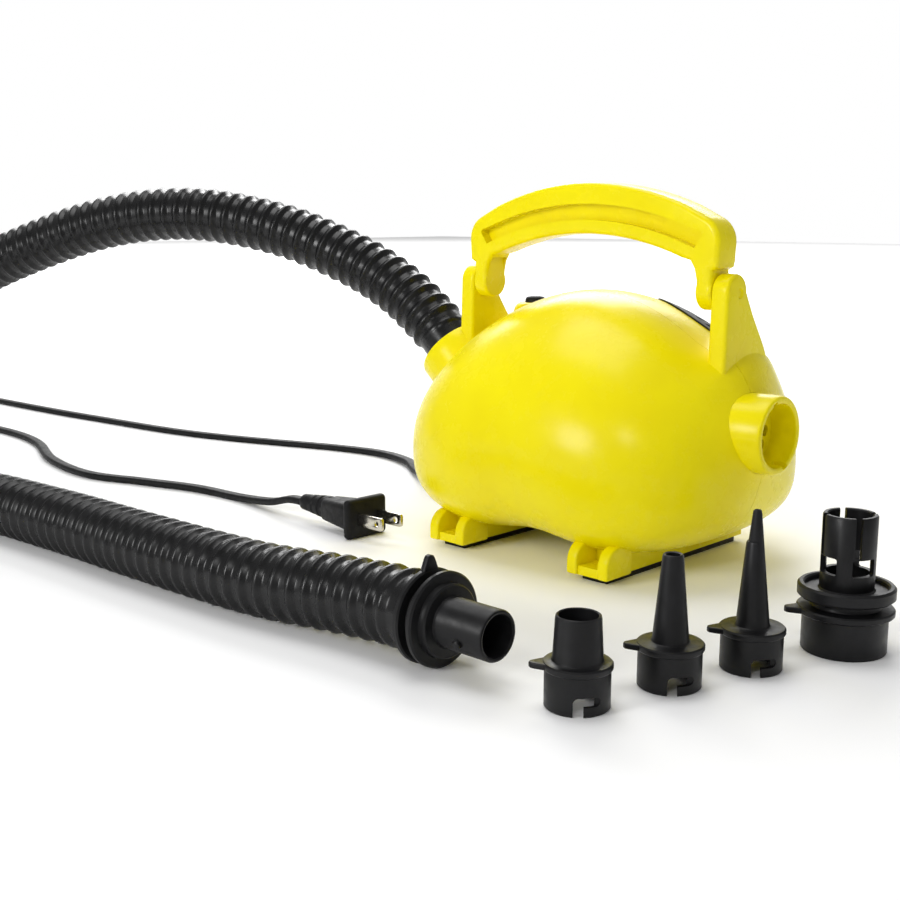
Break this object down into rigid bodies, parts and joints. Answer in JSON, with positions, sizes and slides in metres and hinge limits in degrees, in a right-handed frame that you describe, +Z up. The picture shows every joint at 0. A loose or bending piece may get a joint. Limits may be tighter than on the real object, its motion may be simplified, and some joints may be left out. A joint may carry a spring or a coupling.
{
  "type": "electric air mattress pump",
  "caption": "Free-standing mains air pump: rounded yellow housing on runners, swinging carry handle, side inlet, corrugated black hose, flat cord with plug, and push-on valve adapters.",
  "frame": {"origin": "on the floor, at the centre of the stand between the soles of the two runner pads, under the motor shaft", "axes": "+X along the motor shaft and out of the inlet port, +Y towards the back of the housing, +Z up"},
  "size_m": [0.9414, 0.4559, 0.1723],
  "materials": {
    "yellow_abs": "glossy lemon-yellow ABS",
    "black_plastic": "satin black moulded plastic",
    "black_hose": "glossy black corrugated polyethylene",
    "black_rubber": "soft black rubber or PVC",
    "zinc_steel": "zinc-plated steel",
    "copper": "enamelled copper",
    "core_steel": "varnished steel laminations",
    "fan_nylon": "glass-filled nylon or carbon",
    "brass": "pressed brass",
    "nickel": "nickel-plated brass",
    "natural_nylon": "natural nylon"
  },
  "bodies": {
    "housing": {"front_shell": "yellow_abs", "rear_shell": "yellow_abs", "inlet_collar": "yellow_abs", "outlet_collar": "yellow_abs", "handle_pins": "zinc_steel", "runner_left": "yellow_abs", "runner_right": "yellow_abs", "pad_left": "black_rubber", "pad_right": "black_rubber", "vent_grille": "black_plastic", "switch_body": "black_plastic", "fan_cover": "black_plastic", "diffuser": "natural_nylon", "motor_frame": "zinc_steel", "field_windings": "copper", "bearings": "zinc_steel", "end_bracket": "black_plastic", "brush_holders": "brass", "brushes": "fan_nylon", "motor_ring": "black_rubber", "shell_screws": "zinc_steel", "cord_gland": "black_rubber", "hose_connector": "black_plastic", "hose_tube": "black_hose", "hose_end": "black_plastic", "cord_tube": "black_rubber", "cord_coil": "black_rubber", "plug_body": "black_rubber", "plug_blades": "nickel"},
    "handle": {"handle": "yellow_abs"},
    "rotor": {"shaft": "zinc_steel", "impeller": "fan_nylon", "armature": "core_steel", "commutator": "copper"},
    "button": {"switch_button": "black_plastic"},
    "adapter_short_loose": {"adapter_short": "black_plastic"},
    "adapter_long_loose": {"adapter_long": "black_plastic"},
    "adapter_fine_loose": {"adapter_fine": "black_plastic"},
    "adapter_valve_loose": {"adapter_valve": "black_plastic"}
  },
  "joints": [
    {"name": "handle_swing", "type": "hinge", "parent": "housing", "child": "handle", "pos_m": [0, 0.001, 0.124], "axis": [1, 0, 0], "range_deg": [-64, 82]},
    {"name": "rotor_spin", "type": "hinge", "parent": "housing", "child": "rotor", "pos_m": [0, 0.001, 0.065], "axis": [1, 0, 0], "continuous": true},
    {"name": "button_press", "type": "slide", "parent": "housing", "child": "button", "axis": [0, 0, -1], "range_m": [0, 0.0015], "stiffness_N_per_m": 400, "springref_m": -0.0015},
    {"name": "adapter_short_lift", "type": "slide", "parent": "housing", "child": "adapter_short_loose", "axis": [0, 0, 1], "range_m": [0, 0.05]},
    {"name": "adapter_long_lift", "type": "slide", "parent": "housing", "child": "adapter_long_loose", "axis": [0, 0, 1], "range_m": [0, 0.05]},
    {"name": "adapter_fine_lift", "type": "slide", "parent": "housing", "child": "adapter_fine_loose", "axis": [0, 0, 1], "range_m": [0, 0.05]},
    {"name": "adapter_valve_lift", "type": "slide", "parent": "housing", "child": "adapter_valve_loose", "axis": [0, 0, 1], "range_m": [0, 0.05]}
  ]
}
